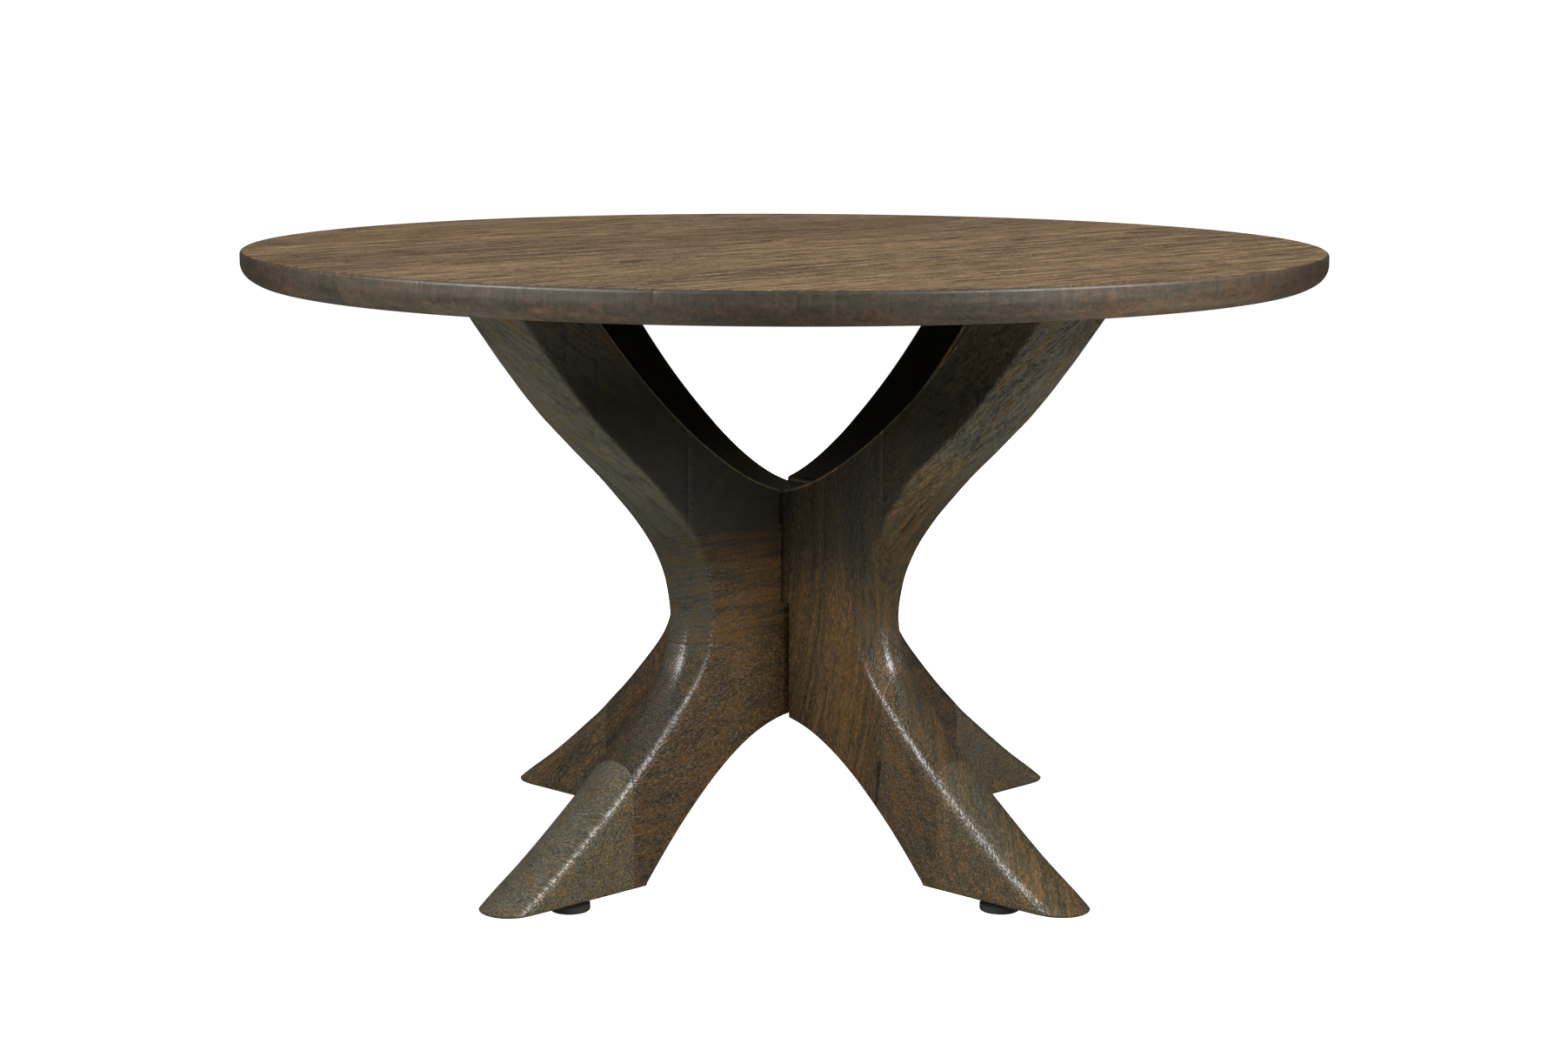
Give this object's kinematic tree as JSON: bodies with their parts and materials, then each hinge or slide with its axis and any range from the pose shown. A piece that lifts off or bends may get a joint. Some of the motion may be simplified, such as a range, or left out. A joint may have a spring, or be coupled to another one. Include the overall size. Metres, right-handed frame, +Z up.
{
  "type": "round dining table",
  "caption": "Round wooden dining table: edge-glued board top on crossed, waisted slabs that flare into arms above and feet below, on levelling glides.",
  "frame": {"origin": "on the floor, on the table's vertical centre axis", "axes": "+Z up; the front faces -Y; one slab runs from front left to back right, the other from front right to back left, each 45 degrees from X"},
  "size_m": [1.32, 1.32, 0.7685],
  "materials": {
    "top_wood": "stained and oiled, satin, open pores",
    "frame_wood": "dark stained and oiled, satin, open pores",
    "plate_steel": "black powder coat",
    "zinc_steel": "zinc plated",
    "glide_plastic": "fine matte"
  },
  "bodies": {
    "table": {"top_board_01": "top_wood", "top_board_02": "top_wood", "top_board_03": "top_wood", "top_board_04": "top_wood", "top_board_05": "top_wood", "top_board_06": "top_wood", "top_board_07": "top_wood", "top_board_08": "top_wood", "top_board_09": "top_wood", "top_board_10": "top_wood", "top_board_11": "top_wood", "slab_a_lower_board": "frame_wood", "slab_a_waist_board": "frame_wood", "slab_a_heel_front_left": "frame_wood", "slab_a_foot_front_left": "frame_wood", "slab_a_shoulder_front_left": "frame_wood", "slab_a_arm_inner_front_left": "frame_wood", "slab_a_arm_outer_front_left": "frame_wood", "slab_a_heel_back_right": "frame_wood", "slab_a_foot_back_right": "frame_wood", "slab_a_shoulder_back_right": "frame_wood", "slab_a_arm_inner_back_right": "frame_wood", "slab_a_arm_outer_back_right": "frame_wood", "slab_b_core": "frame_wood", "slab_b_waist_back_left": "frame_wood", "slab_b_leg_back_left": "frame_wood", "slab_b_foot_back_left": "frame_wood", "slab_b_arm_inner_back_left": "frame_wood", "slab_b_arm_outer_back_left": "frame_wood", "slab_b_waist_front_right": "frame_wood", "slab_b_leg_front_right": "frame_wood", "slab_b_foot_front_right": "frame_wood", "slab_b_arm_inner_front_right": "frame_wood", "slab_b_arm_outer_front_right": "frame_wood", "fixing_plate_front_left": "plate_steel", "fixing_plate_front_right": "plate_steel", "fixing_plate_back_right": "plate_steel", "fixing_plate_back_left": "plate_steel", "plate_screws": "zinc_steel", "top_bolts": "zinc_steel", "top_washers": "zinc_steel", "top_inserts": "zinc_steel", "foot_sleeves": "zinc_steel"},
    "pad_front_left": {"glide_pad_front_left": "glide_plastic"},
    "stem_front_left": {"glide_stem_front_left": "zinc_steel"},
    "pad_front_right": {"glide_pad_front_right": "glide_plastic"},
    "stem_front_right": {"glide_stem_front_right": "zinc_steel"},
    "pad_back_right": {"glide_pad_back_right": "glide_plastic"},
    "stem_back_right": {"glide_stem_back_right": "zinc_steel"},
    "pad_back_left": {"glide_pad_back_left": "glide_plastic"},
    "stem_back_left": {"glide_stem_back_left": "zinc_steel"}
  },
  "joints": [
    {"name": "glide_slide_front_left", "type": "slide", "parent": "table", "child": "pad_front_left", "axis": [0, 0, -1], "range_m": [-0.001, 0.012]},
    {"name": "glide_screw_front_left", "type": "hinge", "parent": "pad_front_left", "child": "stem_front_left", "pos_m": [-0.25456, -0.25456, 0], "axis": [0, 0, -1], "range_deg": [-250, 2890]},
    {"name": "glide_slide_front_right", "type": "slide", "parent": "table", "child": "pad_front_right", "axis": [0, 0, -1], "range_m": [-0.001, 0.012]},
    {"name": "glide_screw_front_right", "type": "hinge", "parent": "pad_front_right", "child": "stem_front_right", "pos_m": [0.25456, -0.25456, 0], "axis": [0, 0, -1], "range_deg": [-250, 2890]},
    {"name": "glide_slide_back_right", "type": "slide", "parent": "table", "child": "pad_back_right", "axis": [0, 0, -1], "range_m": [-0.001, 0.012]},
    {"name": "glide_screw_back_right", "type": "hinge", "parent": "pad_back_right", "child": "stem_back_right", "pos_m": [0.25456, 0.25456, 0], "axis": [0, 0, -1], "range_deg": [-250, 2890]},
    {"name": "glide_slide_back_left", "type": "slide", "parent": "table", "child": "pad_back_left", "axis": [0, 0, -1], "range_m": [-0.001, 0.012]},
    {"name": "glide_screw_back_left", "type": "hinge", "parent": "pad_back_left", "child": "stem_back_left", "pos_m": [-0.25456, 0.25456, 0], "axis": [0, 0, -1], "range_deg": [-250, 2890]}
  ],
  "couplings": [
    {"joint": "glide_screw_front_left", "follows": "glide_slide_front_left", "rad_per_m": 4188.8},
    {"joint": "glide_screw_front_right", "follows": "glide_slide_front_right", "rad_per_m": 4188.8},
    {"joint": "glide_screw_back_right", "follows": "glide_slide_back_right", "rad_per_m": 4188.8},
    {"joint": "glide_screw_back_left", "follows": "glide_slide_back_left", "rad_per_m": 4188.8}
  ]
}
